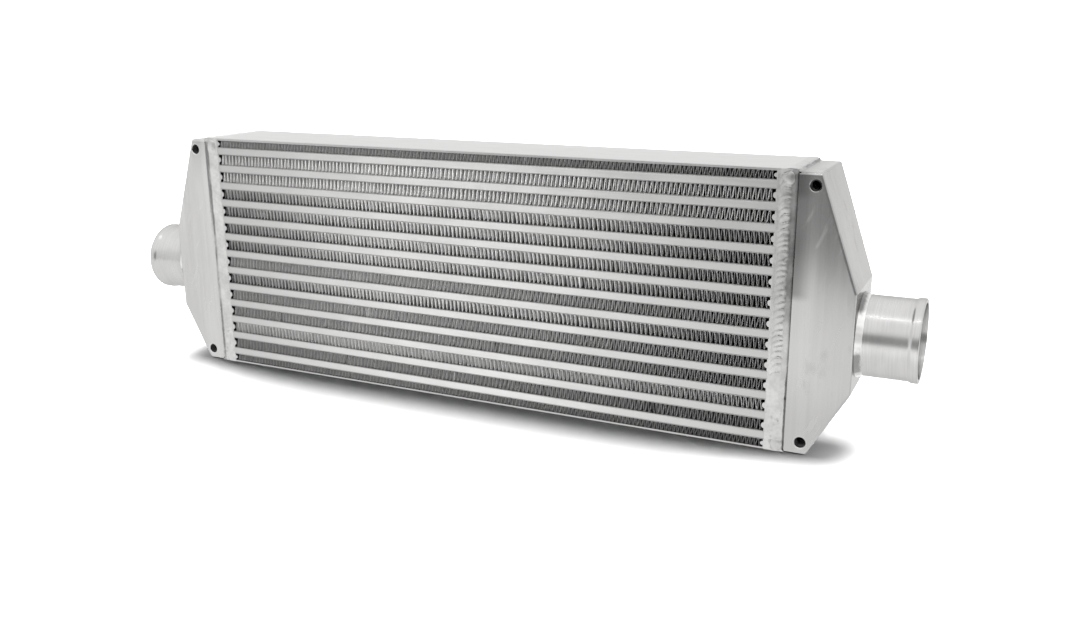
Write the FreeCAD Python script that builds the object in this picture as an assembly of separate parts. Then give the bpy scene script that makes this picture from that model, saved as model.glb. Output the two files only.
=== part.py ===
import FreeCAD, Part
import math
import os

# A bar and plate intercooler: a brazed core between two cast end tanks with a pipe on each.
# Millimetres. X runs along the length, Y from the front face to the back face, Z up.
# The origin is the middle of the core's footprint, on the underside of the bottom plate.

# Core block
core_length = 560.6
core_depth = 76.2
plate_thickness = 2.0
plate_edge_radius = 0.5

# Layers between the two plates
passage_count = 13
sheet_thickness = 0.5
bar_height = 6.0
bar_width = 8.0
bar_edge_radius = 0.5
air_height = 9.5
end_air_height = 6.5

# Short spacer bars that close the ends of the air rows
spacer_length = 14.4
spacer_nose = 2.2

# Folded air fins
air_fin_sheet = 0.2
air_fin_pitch = 3.86
end_air_fin_pitch = 3.55
air_fin_crest = 0.5
air_fin_inset = 0.5
air_fin_end_gap = 0.4

# Folded turbulator fins inside the charge passages
turbulator_sheet = 0.3
turbulator_pitch = 4.25
turbulator_crest = 1.2
turbulator_side_gap = 0.2
turbulator_end_inset = 2.0

# Cast end tanks
tank_wall = 4.0
tank_top_step = 2.0
tank_bottom_step = 0.8
tank_land = 18.6
tank_crease = 20.0
tank_reach = 48.9
tank_end_bottom = 52.6
tank_end_margin_z = 7.8
tank_end_margin_y = 4.0
tank_edge_radius = 2.5
tank_joint_chamfer = 2.0
soft_crease_angle = 15.0

# Tapped mounting holes in the front of each tank
hole_radius = 4.25
hole_countersink = 0.45
hole_depth = 18.0
hole_inset = 14.2
hole_spacing = 200.0
drill_half_angle = 59.0
boss_wall = 4.25
boss_floor = 1.5

# Pipes
pipe_radius = 31.75
pipe_wall = 2.5
pipe_reach = 45.2
lip_length = 8.0
lip_raise = 1.0
lip_shoulder = 1.0
lip_edge_radius = 0.8

# Weld beads
weld_margin = 0.6
weld_raise = 2.2
weld_lip = 1.6
weld_ground_raise = 0.3
weld_ground_lip = 0.8
weld_ground_height = 62.0
weld_end_step = 0.3
weld_overhang = 1.5
pipe_weld_leg = 6.5
pipe_weld_raise = 2.6
pipe_weld_hollow = 0.6
pipe_weld_foot = 1.2

# The share of a wall that a rounded edge may take, and how near two numbers count as the same
edge_share = 0.4
same = 1e-6

# Sizes that follow from the ones above
joint_x = core_length / 2
front_y = -core_depth / 2
passage_height = bar_height + 2 * sheet_thickness
core_height = (2 * plate_thickness + 2 * end_air_height
               + passage_count * passage_height + (passage_count - 1) * air_height)
tank_bottom = tank_bottom_step
tank_top = core_height - tank_top_step
tank_middle = (tank_bottom + tank_top) / 2
tank_end_top = tank_end_bottom + 2 * (pipe_radius + tank_end_margin_z)
tank_end_y = pipe_radius + tank_end_margin_y
pipe_axis_z = (tank_end_bottom + tank_end_top) / 2
pipe_inner_radius = pipe_radius - pipe_wall
end_face_x = joint_x + tank_reach
weld_cover = spacer_length - weld_margin
hole_point = hole_radius / math.tan(math.radians(drill_half_angle))

UP = FreeCAD.Vector(0, 0, 1)
ALONG = FreeCAD.Vector(1, 0, 0)
INTO = FreeCAD.Vector(0, 1, 0)
ORIGIN = FreeCAD.Vector(0, 0, 0)


def block(length, depth, height, low_y, low_z):
    """A box centred on X, with its front at low_y and its underside at low_z."""
    return Part.makeBox(length, depth, height, FreeCAD.Vector(-length / 2, low_y, low_z))


def prism(points, direction):
    """A straight solid whose section is the polygon through the points."""
    return Part.Face(Part.makePolygon(points + [points[0]])).extrude(direction)


def mirrored(shape):
    """The same piece for the other end of the core."""
    return shape.mirror(ORIGIN, ALONG)


def save(shape, node):
    """Writes one piece, or one group of like pieces, under its name."""
    shape.exportStep(os.path.join("parts", node + ".step"))


def ease_long_edges(bar, radius, is_outer):
    """Rounds the edges along X whose two ends both lie on the outer face."""
    edges = [edge for edge in bar.Edges
             if edge.Length > core_length - same
             and all(is_outer(vertex.Point) for vertex in edge.Vertexes)]
    return bar.makeFillet(min(radius, edge_share * bar.BoundBox.ZLength), edges)


def corrugated_sheet(span, depth, height, pitch, crest, sheet):
    """A sheet folded into flat crests and straight legs along X, with its underside at zero."""
    waves = int(span // pitch)
    start = -waves * pitch / 2
    slope = math.atan2(height - sheet, pitch / 2 - crest)
    mitre = sheet / 2 * math.tan(slope / 2)
    upper = [(start, sheet)]
    lower = [(start, 0.0)]
    for wave in range(waves):
        valley = start + wave * pitch
        peak = valley + pitch / 2
        folds = ((valley + crest / 2, 0.0, -mitre),
                 (peak - crest / 2, height - sheet, -mitre),
                 (peak + crest / 2, height - sheet, mitre),
                 (valley + pitch - crest / 2, 0.0, mitre))
        for x, z, shift in folds:
            upper.append((x + shift, z + sheet))
            lower.append((x - shift, z))
    upper.append((start + waves * pitch, sheet))
    lower.append((start + waves * pitch, 0.0))
    outline = [FreeCAD.Vector(x, -depth / 2, z) for x, z in upper + lower[::-1]]
    return prism(outline, INTO * depth)


# Heights of the layers, from the bottom plate up
air_rows = []
passages = []
level = plate_thickness
for row in range(passage_count + 1):
    is_end_row = row in (0, passage_count)
    row_height = end_air_height if is_end_row else air_height
    air_rows.append((level, row_height, is_end_row))
    level += row_height
    if row < passage_count:
        passages.append(level)
        level += passage_height

os.makedirs("parts", exist_ok=True)

# Top and bottom plates, with their long outer edges eased
for node, plate_z, outer_z in (("bottom_plate", 0.0, 0.0),
                               ("top_plate", core_height - plate_thickness, core_height)):
    plate = block(core_length, core_depth, plate_thickness, front_y, plate_z)
    save(ease_long_edges(plate, plate_edge_radius, lambda p: abs(p.z - outer_z) < same), node)

# Parting sheets, one below and one above each charge passage
sheets = []
for passage_z in passages:
    for sheet_z in (passage_z, passage_z + passage_height - sheet_thickness):
        sheets.append(block(core_length, core_depth, sheet_thickness, front_y, sheet_z))
save(Part.makeCompound(sheets), "parting_sheets")

# Long bars, a front and a back one in each charge passage
for number, passage_z in enumerate(passages, 1):
    bars = []
    for low_y, outer_y in ((front_y, front_y), (-front_y - bar_width, -front_y)):
        bar = block(core_length, bar_width, bar_height, low_y, passage_z + sheet_thickness)
        bars.append(ease_long_edges(bar, bar_edge_radius, lambda p: abs(p.y - outer_y) < same))
    save(Part.makeCompound(bars), "charge_bars_{:02d}".format(number))

# Turbulators, folded across the depth with their channels along the core
turbulator = corrugated_sheet(core_depth - 2 * bar_width - 2 * turbulator_side_gap,
                              core_length - 2 * turbulator_end_inset, bar_height,
                              turbulator_pitch, turbulator_crest, turbulator_sheet)
turbulator.rotate(ORIGIN, UP, 90)
for number, passage_z in enumerate(passages, 1):
    save(turbulator.translated(UP * (passage_z + sheet_thickness)),
         "turbulator_{:02d}".format(number))

# Spacer bars with a V nose towards the fins
tip_x = joint_x - spacer_length - spacer_nose
right_spacers = []
for row_z, row_height, is_end_row in air_rows:
    section = [(joint_x, row_z), (joint_x, row_z + row_height),
               (joint_x - spacer_length, row_z + row_height),
               (tip_x, row_z + row_height / 2), (joint_x - spacer_length, row_z)]
    points = [FreeCAD.Vector(x, front_y, z) for x, z in section]
    right_spacers.append(prism(points, INTO * core_depth))
save(Part.makeCompound(right_spacers), "right_spacer_bars")
save(mirrored(Part.makeCompound(right_spacers)), "left_spacer_bars")

# Air fins, one folded sheet to a row between the noses
fin_span = 2 * (tip_x - air_fin_end_gap)
fin_depth = core_depth - 2 * air_fin_inset
full_fin = corrugated_sheet(fin_span, fin_depth, air_height,
                            air_fin_pitch, air_fin_crest, air_fin_sheet)
end_fin = corrugated_sheet(fin_span, fin_depth, end_air_height,
                           end_air_fin_pitch, air_fin_crest, air_fin_sheet)
for number, (row_z, row_height, is_end_row) in enumerate(air_rows, 1):
    fin = end_fin if is_end_row else full_fin
    save(fin.translated(UP * row_z), "air_fin_{:02d}".format(number))


def tank_form(inset, mouth_x):
    """The tank's outer form, or its hollow when every wall is moved in by inset."""
    side = [(mouth_x - inset, tank_bottom), (joint_x + tank_land, tank_bottom),
            (end_face_x, tank_end_bottom), (end_face_x, tank_end_top),
            (joint_x + tank_land, tank_top), (mouth_x - inset, tank_top)]
    plan = [(mouth_x - inset, front_y), (joint_x + tank_crease, front_y),
            (end_face_x, -tank_end_y), (end_face_x, tank_end_y),
            (joint_x + tank_crease, -front_y), (mouth_x - inset, -front_y)]
    side_wire = Part.makePolygon([FreeCAD.Vector(x, front_y, z) for x, z in side + side[:1]])
    plan_wire = Part.makePolygon([FreeCAD.Vector(x, y, 0) for x, y in plan + plan[:1]])
    if inset:
        side_wire = side_wire.makeOffset2D(-inset, 2)
        plan_wire = plan_wire.makeOffset2D(-inset, 2)
    depth = 2 * max(-front_y, tank_end_y)
    side_wire.translate(INTO * (-depth / 2 - front_y))
    from_side = Part.Face(side_wire).extrude(INTO * depth)
    from_above = Part.Face(plan_wire).extrude(UP * core_height)
    return from_side.common(from_above)


def on_joint(edge):
    """True for an edge that lies in the joint plane between tank and core."""
    return all(abs(vertex.X - joint_x) < same for vertex in edge.Vertexes)


def is_sharp(edge, faces):
    """True where two faces of the form meet at a real corner and not at the soft crease."""
    normals = [face.normalAt(0, 0) for face in faces if any(edge.isSame(e) for e in face.Edges)]
    return normals[0].getAngle(normals[1]) > math.radians(soft_crease_angle)


def drilled_hole(x, z):
    """The space a blind hole takes from the front face: countersink, bore and drill point."""
    profile = [(-hole_countersink, 0), (-hole_countersink, hole_radius + 2 * hole_countersink),
               (hole_countersink, hole_radius), (hole_depth, hole_radius),
               (hole_depth + hole_point, 0)]
    points = [FreeCAD.Vector(x + radius, front_y + depth, z) for depth, radius in profile]
    centre = FreeCAD.Vector(x, 0, z)
    return Part.Face(Part.makePolygon(points + points[:1])).revolve(centre, INTO, 360)


# End tanks, with a solid boss behind each tapped hole in the front
outer = tank_form(0.0, joint_x)
rounded = [edge for edge in outer.Edges if not on_joint(edge) and is_sharp(edge, outer.Faces)]
outer = outer.makeFillet(tank_edge_radius, rounded)
outer = outer.makeChamfer(tank_joint_chamfer, [edge for edge in outer.Edges if on_joint(edge)])
hollow = tank_form(tank_wall, joint_x - tank_wall)
hole_x = joint_x + hole_inset
hole_levels = (tank_middle - hole_spacing / 2, tank_middle + hole_spacing / 2)
boss_length = hole_depth + hole_point + boss_floor
for hole_z in hole_levels:
    boss_start = FreeCAD.Vector(hole_x, front_y, hole_z)
    boss = Part.makeCylinder(hole_radius + boss_wall, boss_length, boss_start, INTO)
    hollow = hollow.cut(boss)
right_tank = outer.cut(hollow)
right_tank = right_tank.cut(Part.makeCylinder(pipe_inner_radius, tank_reach,
                            FreeCAD.Vector(joint_x + tank_land, 0, pipe_axis_z), ALONG))
for hole_z in hole_levels:
    right_tank = right_tank.cut(drilled_hole(hole_x, hole_z))
save(right_tank, "right_end_tank")
save(mirrored(right_tank), "left_end_tank")

# Pipes, turned about the axis of the end face, with a raised lip at the free end
pipe_end_x = end_face_x + pipe_reach
lip_x = pipe_end_x - lip_length
lip_radius = pipe_radius + lip_raise
profile = [(end_face_x, pipe_inner_radius), (pipe_end_x, pipe_inner_radius),
           (pipe_end_x, lip_radius), (lip_x, lip_radius),
           (lip_x - lip_shoulder, pipe_radius), (end_face_x, pipe_radius)]
points = [FreeCAD.Vector(x, 0, pipe_axis_z + radius) for x, radius in profile]
axis_point = FreeCAD.Vector(0, 0, pipe_axis_z)
right_pipe = Part.Face(Part.makePolygon(points + points[:1])).revolve(axis_point, ALONG, 360)
lip_edges = [edge for edge in right_pipe.Edges
             if abs(edge.BoundBox.XMin - pipe_end_x) < same
             and edge.BoundBox.ZLength > 2 * lip_radius - same]
right_pipe = right_pipe.makeFillet(min(lip_edge_radius, edge_share * pipe_wall), lip_edges)
save(right_pipe, "right_pipe")
save(mirrored(right_pipe), "left_pipe")

# Pipe welds, a hollow fillet round the foot of each pipe
def at_pipe(along, out):
    """A point above the axis, measured from where the pipe meets the end face."""
    return FreeCAD.Vector(end_face_x + along, 0, pipe_axis_z + pipe_radius + out)


foot = at_pipe(-pipe_weld_foot, 0)
leg_end = at_pipe(pipe_weld_leg, 0)
middle = at_pipe(pipe_weld_leg / 2 - pipe_weld_hollow, pipe_weld_raise / 2 - pipe_weld_hollow)
rise_end = at_pipe(0, pipe_weld_raise)
rise_foot = at_pipe(-pipe_weld_foot, pipe_weld_raise)
section = Part.Wire([Part.makeLine(foot, leg_end), Part.Arc(leg_end, middle, rise_end).toShape(),
                     Part.makeLine(rise_end, rise_foot), Part.makeLine(rise_foot, foot)])
right_pipe_weld = Part.Face(section).revolve(axis_point, ALONG, 360).cut(outer)
save(right_pipe_weld, "right_pipe_weld")
save(mirrored(right_pipe_weld), "left_pipe_weld")


def face_weld(raised, low_z, high_z):
    """A bead over the ends of the bars on the front face, with its root in the joint's groove."""
    def at(along, out):
        return FreeCAD.Vector(joint_x + along, front_y - out, low_z)
    root = at(0, -tank_joint_chamfer)
    corner = at(0, 0)
    inner = at(-weld_cover, 0)
    if raised:
        lip = at(weld_lip, weld_lip - tank_joint_chamfer)
        crown = at(-weld_cover / 2, weld_raise)
        edges = [Part.Arc(inner, crown, lip).toShape(), Part.makeLine(lip, root)]
    else:
        lip = at(weld_ground_lip, weld_ground_lip - tank_joint_chamfer)
        flat_in = at(weld_ground_raise - weld_cover, weld_ground_raise)
        flat_out = at(weld_ground_raise, weld_ground_raise)
        edges = [Part.makeLine(inner, flat_in), Part.makeLine(flat_in, flat_out),
                 Part.makeLine(flat_out, lip), Part.makeLine(lip, root)]
    edges += [Part.makeLine(root, corner), Part.makeLine(corner, inner)]
    return Part.Face(Part.Wire(edges)).extrude(UP * (high_z - low_z))


def across_welds():
    """The beads across the top and the bottom of the joint."""
    def at(along, z):
        return FreeCAD.Vector(joint_x + along, front_y, z)
    top_root = at(0, tank_top - tank_joint_chamfer)
    top_lip = at(tank_joint_chamfer, tank_top)
    top_out = at(tank_joint_chamfer + weld_overhang, tank_top)
    top_crown = at(tank_joint_chamfer / 2, core_height)
    top_in = at(-weld_overhang, core_height)
    top_corner = at(0, core_height)
    top = Part.Wire([Part.makeLine(top_root, top_lip), Part.makeLine(top_lip, top_out),
                     Part.Arc(top_out, top_crown, top_in).toShape(),
                     Part.makeLine(top_in, top_corner), Part.makeLine(top_corner, top_root)])
    bottom = [at(0, tank_bottom + tank_joint_chamfer), at(tank_joint_chamfer, tank_bottom),
              at(tank_joint_chamfer / 2, weld_end_step), at(0, weld_end_step)]
    return Part.Face(top).extrude(INTO * core_depth).fuse(prism(bottom, INTO * core_depth))


def turned_to_back(shape):
    """The same bead on the back face."""
    return shape.mirror(ORIGIN, INTO)


# Core welds, round the joint between each tank and the core
weld_low = weld_end_step
weld_high = core_height - weld_end_step
smooth_weld = face_weld(False, weld_low, weld_high)
raised_weld = face_weld(True, weld_ground_height, weld_high)
ground_weld = face_weld(False, weld_low, weld_ground_height)
full_weld = face_weld(True, weld_low, weld_high)
right_weld = across_welds().fuse([raised_weld, ground_weld, turned_to_back(full_weld)])
left_weld = across_welds().fuse([smooth_weld, turned_to_back(smooth_weld)])
save(right_weld.cut(outer).removeSplitter(), "right_core_weld")
save(mirrored(left_weld.cut(outer).removeSplitter()), "left_core_weld")
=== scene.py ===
import math

import bmesh
import bpy
from mathutils import Matrix, Vector
from mathutils import noise as noise_source


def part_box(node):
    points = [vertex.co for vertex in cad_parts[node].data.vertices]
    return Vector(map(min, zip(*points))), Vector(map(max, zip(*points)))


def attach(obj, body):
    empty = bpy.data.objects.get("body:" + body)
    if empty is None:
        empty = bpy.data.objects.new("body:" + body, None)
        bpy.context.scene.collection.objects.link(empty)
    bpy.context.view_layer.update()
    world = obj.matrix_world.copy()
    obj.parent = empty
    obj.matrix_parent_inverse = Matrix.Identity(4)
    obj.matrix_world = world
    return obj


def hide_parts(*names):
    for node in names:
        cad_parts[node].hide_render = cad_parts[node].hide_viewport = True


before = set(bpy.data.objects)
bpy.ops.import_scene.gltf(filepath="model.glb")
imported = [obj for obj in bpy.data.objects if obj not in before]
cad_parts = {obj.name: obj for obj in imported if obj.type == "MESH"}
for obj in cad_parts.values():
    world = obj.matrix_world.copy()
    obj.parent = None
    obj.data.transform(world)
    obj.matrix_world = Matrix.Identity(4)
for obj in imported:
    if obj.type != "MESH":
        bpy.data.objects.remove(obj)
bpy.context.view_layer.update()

# Camera
# It stands in front of the core, further right than the right pipe and a little above the top
# plate, and looks down along the core towards the left tank.
frame_width = 1080
focal_pixels = 1049.6
sensor_width = 36.0
camera_place = Vector((0.4428, -0.8073, 0.3254))
camera_yaw = math.radians(25.743)
camera_pitch = math.radians(15.212)
camera_roll = math.radians(-0.341)
camera_clip_start = 0.01
level_right = Vector((math.cos(camera_yaw), math.sin(camera_yaw), 0.0))
forward = Vector((-math.sin(camera_yaw) * math.cos(camera_pitch),
                  math.cos(camera_yaw) * math.cos(camera_pitch), -math.sin(camera_pitch)))
level_up = level_right.cross(forward)
right = level_right * math.cos(camera_roll) + level_up * math.sin(camera_roll)
up = level_up * math.cos(camera_roll) - level_right * math.sin(camera_roll)
lens = bpy.data.cameras.new("camera")
lens.sensor_width = sensor_width
lens.lens = focal_pixels / frame_width * sensor_width
lens.clip_start = camera_clip_start
camera = bpy.data.objects.new("camera", lens)
camera_turn = Matrix((right, up, -forward)).transposed().to_4x4()
camera.matrix_world = Matrix.Translation(camera_place) @ camera_turn
bpy.context.scene.collection.objects.link(camera)
bpy.context.scene.camera = camera


# Top and bottom plates
# Two flat sheets of rolled aluminium, 2 mm thick, that close the stack. They are brazed on
# with the rest of the core in one furnace run, which leaves them pale, clean and finely rubbed.
class Socket:
    """One output in a node tree: arithmetic adds Math nodes and node() adds any other node."""

    def __init__(self, tree, out=None):
        self.tree = tree
        self.out = out

    def node(self, kind, settings=None, inputs=None, output=0):
        """Adds a node, sets it up, links or fills its inputs, and gives one of its outputs."""
        added = self.tree.nodes.new(kind)
        for name, value in (settings or {}).items():
            setattr(added, name, value)
        for name, value in (inputs or {}).items():
            if isinstance(value, Socket):
                self.tree.links.new(value.out, added.inputs[name])
            else:
                added.inputs[name].default_value = value
        return Socket(self.tree, added.outputs[output])

    def maths(self, operation, *values):
        """Adds a Math node for one operation on these sockets or numbers."""
        return self.node("ShaderNodeMath", {"operation": operation}, dict(enumerate(values)))

    def __add__(self, other):
        return self.maths("ADD", self, other)

    def __sub__(self, other):
        return self.maths("SUBTRACT", self, other)

    def __mul__(self, other):
        return self.maths("MULTIPLY", self, other)

    def __truediv__(self, other):
        return self.maths("DIVIDE", self, other)

    def __pow__(self, other):
        return self.maths("POWER", self, other)

    def __rsub__(self, other):
        return self.maths("SUBTRACT", other, self)

    def __abs__(self):
        return self.maths("ABSOLUTE", self)

    __radd__ = __add__
    __rmul__ = __mul__


def part_of(vector, axis):
    """The X, Y or Z of a vector, as axis 0, 1 or 2."""
    return vector.node("ShaderNodeSeparateXYZ", None, {0: vector}, axis)


def between(value, low, high, soft="SMOOTHSTEP"):
    """0 below low, 1 above high and a soft step from one to the other."""
    return value.node("ShaderNodeMapRange", {"interpolation_type": soft},
                      {"Value": value, "From Min": low, "From Max": high})


def vector_maths(operation, first, second, output=0):
    """One step of vector maths on two sockets or constants."""
    return first.node("ShaderNodeVectorMath", {"operation": operation}, {0: first, 1: second}, output)


def noise(point, stretch, detail=3.0, rough=0.5, offset=(0.0, 0.0, 0.0)):
    """Smooth noise with its own number of cells to a metre along each axis."""
    cells = vector_maths("ADD", vector_maths("MULTIPLY", point, stretch), offset)
    return point.node("ShaderNodeTexNoise", None,
                      {"Vector": cells, "Scale": 1.0, "Detail": detail, "Roughness": rough})


def blend(mask, low, high):
    """The colour low where the mask is 0 and high where it is 1."""
    mix = {"data_type": "RGBA"}
    return mask.node("ShaderNodeMix", mix, {0: mask, 6: low, 7: high}, 2)


def grey(value):
    """A neutral colour with the faint warmth of bare aluminium."""
    return (value, value * 0.996, value * 0.985, 1.0)


def new_metal(name, metallic=1.0):
    """An empty material, its shader, and the point on the piece that its pattern reads."""
    material = bpy.data.materials.new(name)
    material.use_nodes = True
    tree = material.node_tree
    shader = tree.nodes["Principled BSDF"]
    shader.inputs["Metallic"].default_value = metallic
    point = Socket(tree).node("ShaderNodeTexCoord", output=3)
    return material, shader, point


def feed(shader, socket_name, value):
    """Links a value to one input of a shader."""
    value.tree.links.new(value.out, shader.inputs[socket_name])


def bump(height, distance, strength=1.0):
    """A surface normal from a height of 0 to 1 that stands for a real distance in metres."""
    return height.node("ShaderNodeBump", None,
                       {"Height": height, "Distance": distance, "Strength": strength})


def rubbed_metal(name, dark, light, smooth, rough, grain, depth, patches=(7.0, 18.0, 18.0), ends=None):
    """Worked aluminium: cloudy patches, a fine grain, a faint relief, and painted shade at the ends."""
    material, shader, point = new_metal(name)
    cloud = noise(point, patches, 4.0, 0.6)
    lines = noise(point, grain, 2.0, 0.7)
    tone = between(cloud * 0.65 + lines * 0.35, 0.32, 0.68)
    base = blend(tone, grey(dark), grey(light))
    if ends:
        half_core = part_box("top_plate")[1].x
        # Painted shade: the colour darkens towards the ends of the core, where the light falls off.
        shaded_ends = between(abs(part_of(point, 0)), 0.2 * half_core, 1.2 * half_core, "LINEAR")
        base = blend(shaded_ends, base, grey(ends))
    feed(shader, "Base Color", base)
    feed(shader, "Roughness", smooth + (rough - smooth) * between(cloud * 0.4 + lines * 0.6, 0.3, 0.7))
    feed(shader, "Normal", bump(lines, depth))
    return material


def dress(name_starts, material):
    """Gives the CAD nodes whose names start like this their material."""
    for name in sorted(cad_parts):
        if name.startswith(name_starts):
            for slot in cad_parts[name].material_slots:
                slot.material = material


plate_metal = rubbed_metal("rolled_plate", dark=0.32, light=0.36, smooth=0.34, rough=0.46,
                           grain=(30.0, 420.0, 420.0), depth=0.00004)
dress(("top_plate", "bottom_plate"), plate_metal)

# Parting sheets
# Thin sheets clad with brazing alloy, one on each side of every charge passage. Only their
# front and back edges show, as a fine line along each bar, and their faces behind the fins.
sheet_metal = rubbed_metal("clad_sheet", dark=0.26, light=0.34, smooth=0.42, rough=0.55,
                           grain=(60.0, 300.0, 300.0), depth=0.00003)
dress("parting_sheets", sheet_metal)

# Long bars
# Drawn aluminium bars that close the front and back of each charge passage. Brazing leaves
# them satin, with long draw lines and pale mottling, and they are painted darker towards the ends
# as painted shade, where the light falls off.
bar_metal = rubbed_metal("drawn_bar", dark=0.475, light=0.57, smooth=0.40, rough=0.54,
                         grain=(14.0, 900.0, 900.0), depth=0.00004, patches=(22.0, 60.0, 60.0), ends=0.33)
dress("charge_bars", bar_metal)

# Turbulators
# Thicker folded sheet inside each charge passage, brazed to the sheets above and below it.
# They are seen only from inside the tanks.
turbulator_metal = rubbed_metal("folded_turbulator", dark=0.32, light=0.40, smooth=0.42, rough=0.55,
                                grain=(400.0, 60.0, 60.0), depth=0.00003)
dress("turbulator", turbulator_metal)

# Spacer bars
# Short extruded aluminium bars, brazed in to close the ends of the air rows. Each has a small
# rounded nose, which stands bright between the dark corners where the fins stop. Their faces
# further in are painted near black as painted shade.
air_rows = 14
spacer_nose = 0.0022
nose_share = 0.26
nose_steps = 6
nose_crease = 35.0
spacer_shade_from = 0.0368
spacer_lit_from = 0.0378


def loft(work, rings, looped):
    """Joins rings of points with faces, closes the ends of one that isn't looped, gives its rows."""
    rows = [[work.verts.new(point) for point in ring] for ring in rings]
    for row, following in zip(rows, rows[1:] + rows[:1] if looped else rows[1:]):
        for place in range(len(row)):
            beside = (place + 1) % len(row)
            work.faces.new((row[place], row[beside], following[beside], following[place]))
    if not looped:
        work.faces.new(rows[0])
        work.faces.new(rows[-1][::-1])
    return rows


def finished(name, work, material, crease):
    """Makes a piece of a mesh, smooth but for edges sharper than the crease, in degrees."""
    bmesh.ops.recalc_face_normals(work, faces=work.faces)
    for face in work.faces:
        face.smooth = True
    for edge in work.edges:
        edge.smooth = edge.calc_face_angle(0.0) < math.radians(crease)
    mesh = bpy.data.meshes.new(name)
    work.to_mesh(mesh)
    work.free()
    mesh.materials.append(material)
    piece = bpy.data.objects.new(name, mesh)
    bpy.context.scene.collection.objects.link(piece)
    return piece


def dusk(point, deepest, shallowest):
    """Painted shade: 1 on the outer faces of the core, and 0 further in, where little light comes."""
    return between(abs(part_of(point, 1)), deepest, shallowest)


def spacer_metal(name):
    """Extruded bar: lightly rubbed outside, and painted near black further in as painted shade."""
    material, shader, point = new_metal(name)
    cloud = noise(point, (60.0, 30.0, 60.0), 4.0, 0.6)
    lines = noise(point, (120.0, 20.0, 500.0), 2.0, 0.7)
    # Painted shade: near black further into the core than its faces.
    unshaded_outside = dusk(point, spacer_shade_from, spacer_lit_from)
    feed(shader, "Base Color", blend(unshaded_outside, grey(0.05), blend(cloud, grey(0.36), grey(0.46))))
    feed(shader, "Roughness", 0.36 + 0.14 * lines)
    feed(shader, "Normal", bump(lines, 0.00003))
    return material


extruded_metal = spacer_metal("extruded_spacer")
for side, sign in (("left", -1.0), ("right", 1.0)):
    low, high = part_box(side + "_spacer_bars")
    inner = min(abs(low.x), abs(high.x)) + spacer_nose
    outer = max(abs(low.x), abs(high.x))
    work = bmesh.new()
    for number in range(1, air_rows + 1):
        row_low, row_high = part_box("air_fin_{:02d}".format(number))
        middle = (row_low.z + row_high.z) / 2
        rise = (row_high.z - row_low.z) * nose_share
        section = [(outer, row_low.z), (outer, row_high.z), (inner, row_high.z)]
        for step in range(nose_steps + 1):
            angle = math.pi * step / nose_steps
            section.append((inner - spacer_nose * math.sin(angle), middle + rise * math.cos(angle)))
        section.append((inner, row_low.z))
        loft(work, [[(sign * x, y, z) for x, z in section] for y in (low.y, high.y)], False)
    spacers = finished(side + "_extruded_spacers", work, extruded_metal, nose_crease)
    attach(spacers, "root")
    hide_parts(side + "_spacer_bars")

# Air fins
# Each air row is one thin sheet folded into a zigzag and brazed at its crests. One side of the
# sheet is painted darker as shade, and which side changes from row to row, so the bright strokes
# lean left in some rows and right in others. Each row is painted darker towards its ends as shade.

# The side of a fold goes up in five parts, given as shares of the pitch and of the height.
fold_runs = (0.090, 0.060, 0.100, 0.100, 0.060)
fold_rises = (0.010, 0.110, 0.380, 0.380, 0.110)
fold_points = 2 * (len(fold_runs) + 1)
depth_stations = 6
fin_sheet = 0.00042
full_pitch = 0.00386
end_pitch = 0.00355
fin_skew = 0.0004
fin_lean = 0.0015
fin_crowd = 0.0008
fin_uneven = 0.0004
fin_bend = 0.0045
fin_metallic = 0.2
fin_lit_from = 0.0353
fin_dark_from = 0.0334
fin_dimming_from = 0.08
fin_dimming_full = 0.27


def fin_metal(name, bright_side_up, bright, dull, painted_dimming):
    """Thin sheet with one side painted darker, and painted shade further in and towards the row's ends."""
    material, shader, point = new_metal(name, fin_metallic)
    facing = point.node("ShaderNodeTexCoord", output=1)
    cloud = noise(point, (26.0, 30.0, 120.0), 3.0, 0.6)
    grain = noise(point, (500.0, 90.0, 500.0), 2.0, 0.6)
    mottle = between(cloud * 0.6 + grain * 0.4, 0.3, 0.7)
    # Painted light and shade: the side of the sheet that faces up or down gets the bright or the dark tone.
    upper_side = between(part_of(facing, 2), -0.10, 0.10)
    painted_lit_side = upper_side if bright_side_up else 1.0 - upper_side
    near = blend(painted_lit_side, grey(dull), blend(mottle, grey(bright * 0.85), grey(bright)))
    # Painted shade: near black further into the core.
    shaded_far = blend(painted_lit_side, grey(dull * 0.10), grey(bright * 0.12))
    sheet = blend(dusk(point, fin_dark_from, fin_lit_from), shaded_far, near)
    cut_edge = between(abs(part_of(facing, 1)), 0.60, 0.90)
    sheet = blend(cut_edge, sheet, grey(0.24 * bright))
    # Painted shade: darker towards the ends of the row, where the light falls off.
    end_dimming = painted_dimming * between(abs(part_of(point, 0)), fin_dimming_from, fin_dimming_full)
    feed(shader, "Base Color", blend(end_dimming, sheet, grey(0.01)))
    feed(shader, "Roughness", 0.40 + 0.16 * grain)
    return material


# A row's finish, with tones painted as light and shade, the way its strokes lean and how full its folds
# are.
fin_finishes = {
    "keen": (fin_metal("fin_sheet_keen", True, bright=0.84, dull=0.09, painted_dimming=0.56), -fin_skew, 1.45),
    "soft": (fin_metal("fin_sheet_soft", True, bright=0.78, dull=0.42, painted_dimming=0.20), -fin_skew, 1.30),
    "pale": (fin_metal("fin_sheet_pale", False, bright=0.84, dull=0.24, painted_dimming=0.30), fin_skew, 1.0),
    "dull": (fin_metal("fin_sheet_dull", False, bright=0.50, dull=0.32, painted_dimming=0.28), fin_skew, 1.15),
    "dark": (fin_metal("fin_sheet_dark", False, bright=0.30, dull=0.20, painted_dimming=0.10), fin_skew, 1.0)}
rows_upwards = ("dull", "dull", "soft", "dull", "dull", "keen", "dull", "keen", "keen", "keen", "keen",
                "pale", "pale", "dark")


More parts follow.
